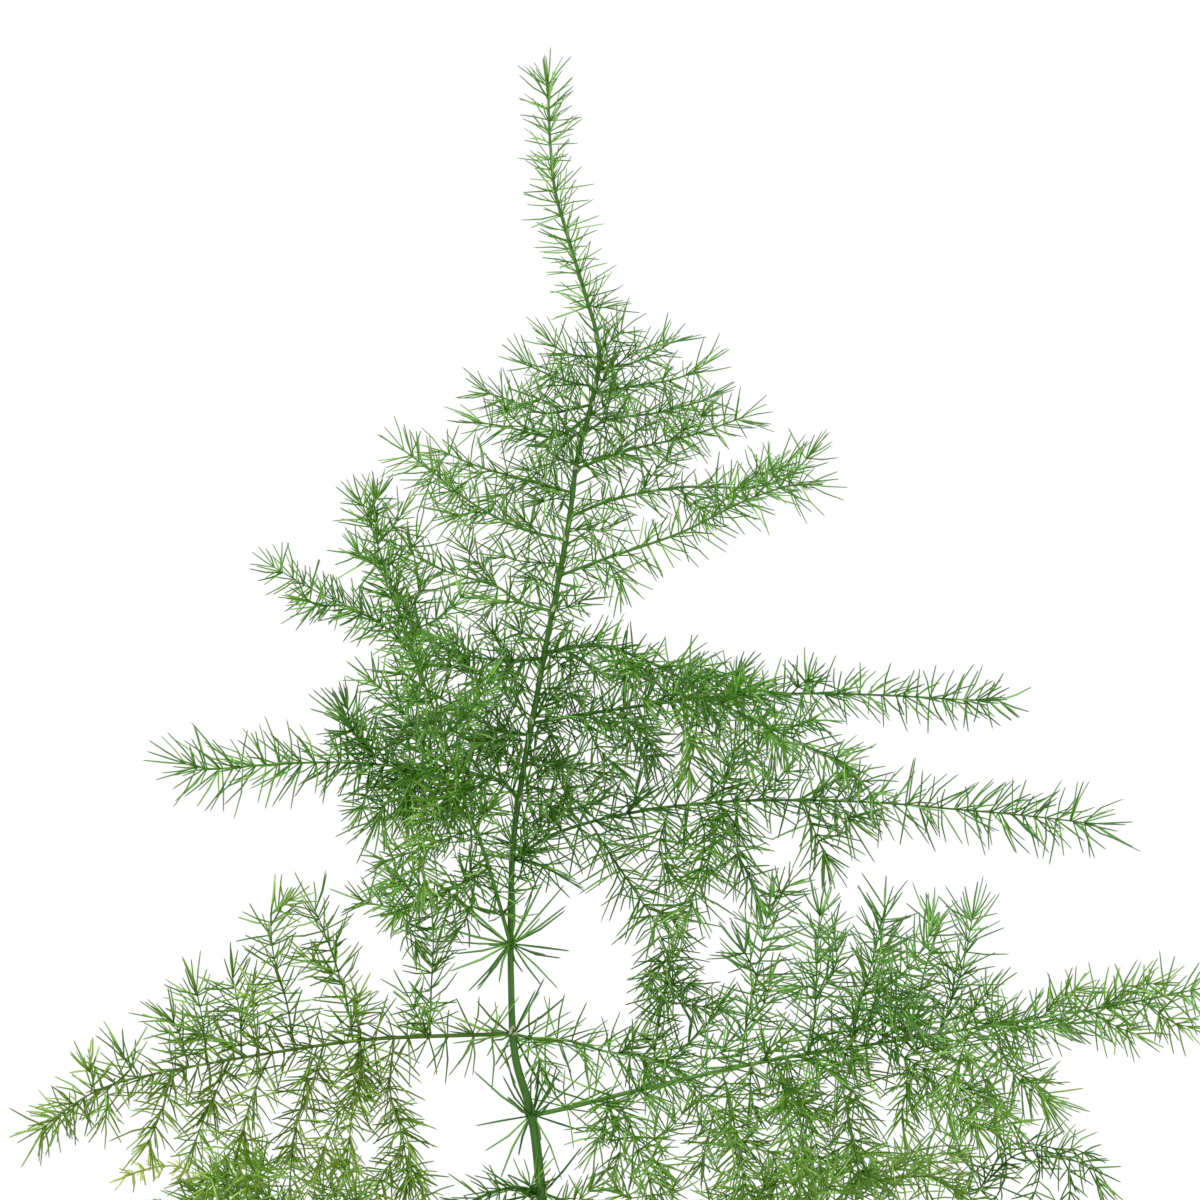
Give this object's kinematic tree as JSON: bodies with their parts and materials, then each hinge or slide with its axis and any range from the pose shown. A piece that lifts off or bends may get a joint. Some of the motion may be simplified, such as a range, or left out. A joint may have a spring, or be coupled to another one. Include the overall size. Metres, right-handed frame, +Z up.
{
  "type": "potted asparagus fern",
  "caption": "Potted asparagus fern: a tall feathery frond of fine needles above a clump of lower arching fronds, standing in potting mix in a plain round terracotta pot",
  "frame": {"origin": "middle of the pot's flat base, on the surface that it stands on", "axes": "+Z up along the pot's axis; the tall frond spreads along X as in the picture, seen along +Y with +X to the right"},
  "size_m": [0.2785, 0.274, 0.4957],
  "materials": {
    "terracotta": "matte",
    "potting_mix": "matte",
    "tall_frond": "satin",
    "lower_fronds": "satin"
  },
  "bodies": {
    "root": {"pot": "terracotta", "potting_mix": "potting_mix", "frond_tall": "tall_frond", "frond_left": "lower_fronds", "frond_front_left": "lower_fronds", "frond_front": "lower_fronds", "frond_front_right": "lower_fronds", "frond_right": "lower_fronds", "frond_back_right": "lower_fronds", "frond_back_left": "lower_fronds"}
  },
  "joints": []
}
